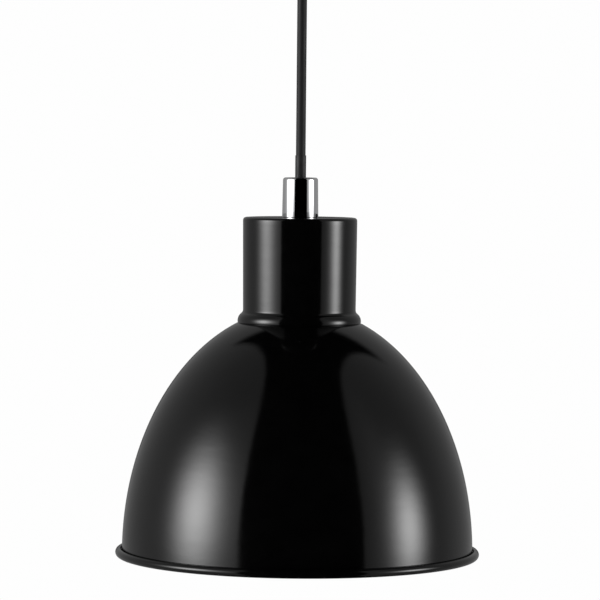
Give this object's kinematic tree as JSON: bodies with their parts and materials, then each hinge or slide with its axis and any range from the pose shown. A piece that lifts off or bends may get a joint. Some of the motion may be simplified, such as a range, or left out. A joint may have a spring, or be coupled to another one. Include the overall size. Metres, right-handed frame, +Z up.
{
  "type": "pendant ceiling light",
  "caption": "Spun steel dome pendant light with a cylindrical neck and polished cord grip, hanging on a round black cord from a ceiling cup.",
  "frame": {"origin": "middle of the ceiling face of the bracket, in the plane of the ceiling", "axes": "+Z up, out of the ceiling face; +X to the right and -Y towards the viewer, along and across the bracket's strap"},
  "size_m": [0.215, 0.215, 0.4],
  "materials": {
    "black_gloss_paint": "high-gloss black enamel with a faint orange peel, matt white inside the shade",
    "polished_chrome": "polished and chrome-plated",
    "cord_jacket": "satin black PVC jacket",
    "shrink_sleeve": "satin black shrunk sleeve",
    "black_steel": "blackened steel",
    "black_moulding": "black moulded plastic",
    "zinc_steel": "bright zinc-plated steel",
    "brass": "turned brass",
    "bronze": "rolled bronze strip",
    "white_nylon": "natural white nylon",
    "white_ceramic": "unglazed white ceramic",
    "brown_core": "brown PVC insulation",
    "blue_core": "blue PVC insulation",
    "green_yellow_core": "green and yellow striped PVC insulation",
    "opal_glass": "white opal glass",
    "nickel_plate": "nickel-plated lamp cap",
    "black_glass": "black glass insulator"
  },
  "bodies": {
    "ceiling": {"ceiling_bracket": "zinc_steel", "cord_saddle": "zinc_steel", "saddle_screws": "zinc_steel", "terminal_block": "white_nylon", "terminal_tubes": "brass", "terminal_screws": "zinc_steel", "block_screw": "zinc_steel", "supply_live_core": "brown_core", "supply_neutral_core": "blue_core", "supply_earth_core": "green_yellow_core", "canopy": "black_gloss_paint", "canopy_side_screws": "black_steel", "canopy_collar": "black_moulding", "canopy_nut": "black_moulding", "cord_head": "cord_jacket"},
    "cord": {"cord": "cord_jacket"},
    "lamp": {"cord_tail": "cord_jacket", "cord_sleeve": "shrink_sleeve", "grip_cap": "polished_chrome", "grip_collet": "white_nylon", "grip_set_screw": "black_steel", "threaded_nipple": "brass", "toothed_washer": "zinc_steel", "lock_nut": "zinc_steel", "neck": "black_gloss_paint", "shade": "black_gloss_paint", "holder_cap": "black_moulding", "holder_thread_bush": "brass", "holder_insert": "white_ceramic", "holder_skirt": "black_moulding", "screw_shell": "brass", "centre_contact": "bronze", "side_contact": "bronze", "terminal_plates": "brass", "holder_terminal_screws": "zinc_steel", "earth_screw": "zinc_steel", "live_core": "brown_core", "neutral_core": "blue_core", "earth_core": "green_yellow_core"},
    "bulb_seat": {"bulb_insulator": "black_glass"},
    "bulb": {"bulb_globe": "opal_glass", "bulb_cap": "nickel_plate", "bulb_contact_pin": "brass"}
  },
  "joints": [
    {"name": "lamp_swing", "type": "hinge", "parent": "ceiling", "child": "cord", "pos_m": [0, 0, -0.06], "axis": [0, -1, 0], "range_deg": [-15, 15], "deforming": ["cord"]},
    {"name": "lamp_tilt", "type": "hinge", "parent": "cord", "child": "lamp", "pos_m": [0, 0, -0.163], "axis": [1, 0, 0], "range_deg": [-15, 15]},
    {"name": "bulb_travel", "type": "slide", "parent": "lamp", "child": "bulb_seat", "axis": [0, 0, -1], "range_m": [0, 0.0145]},
    {"name": "bulb_unscrew", "type": "hinge", "parent": "bulb_seat", "child": "bulb", "pos_m": [0, 0, -0.26], "axis": [0, 0, -1], "range_deg": [0, 1440]}
  ],
  "couplings": [
    {"joint": "bulb_travel", "follows": "bulb_unscrew", "m_per_rad": 0.00057614}
  ]
}
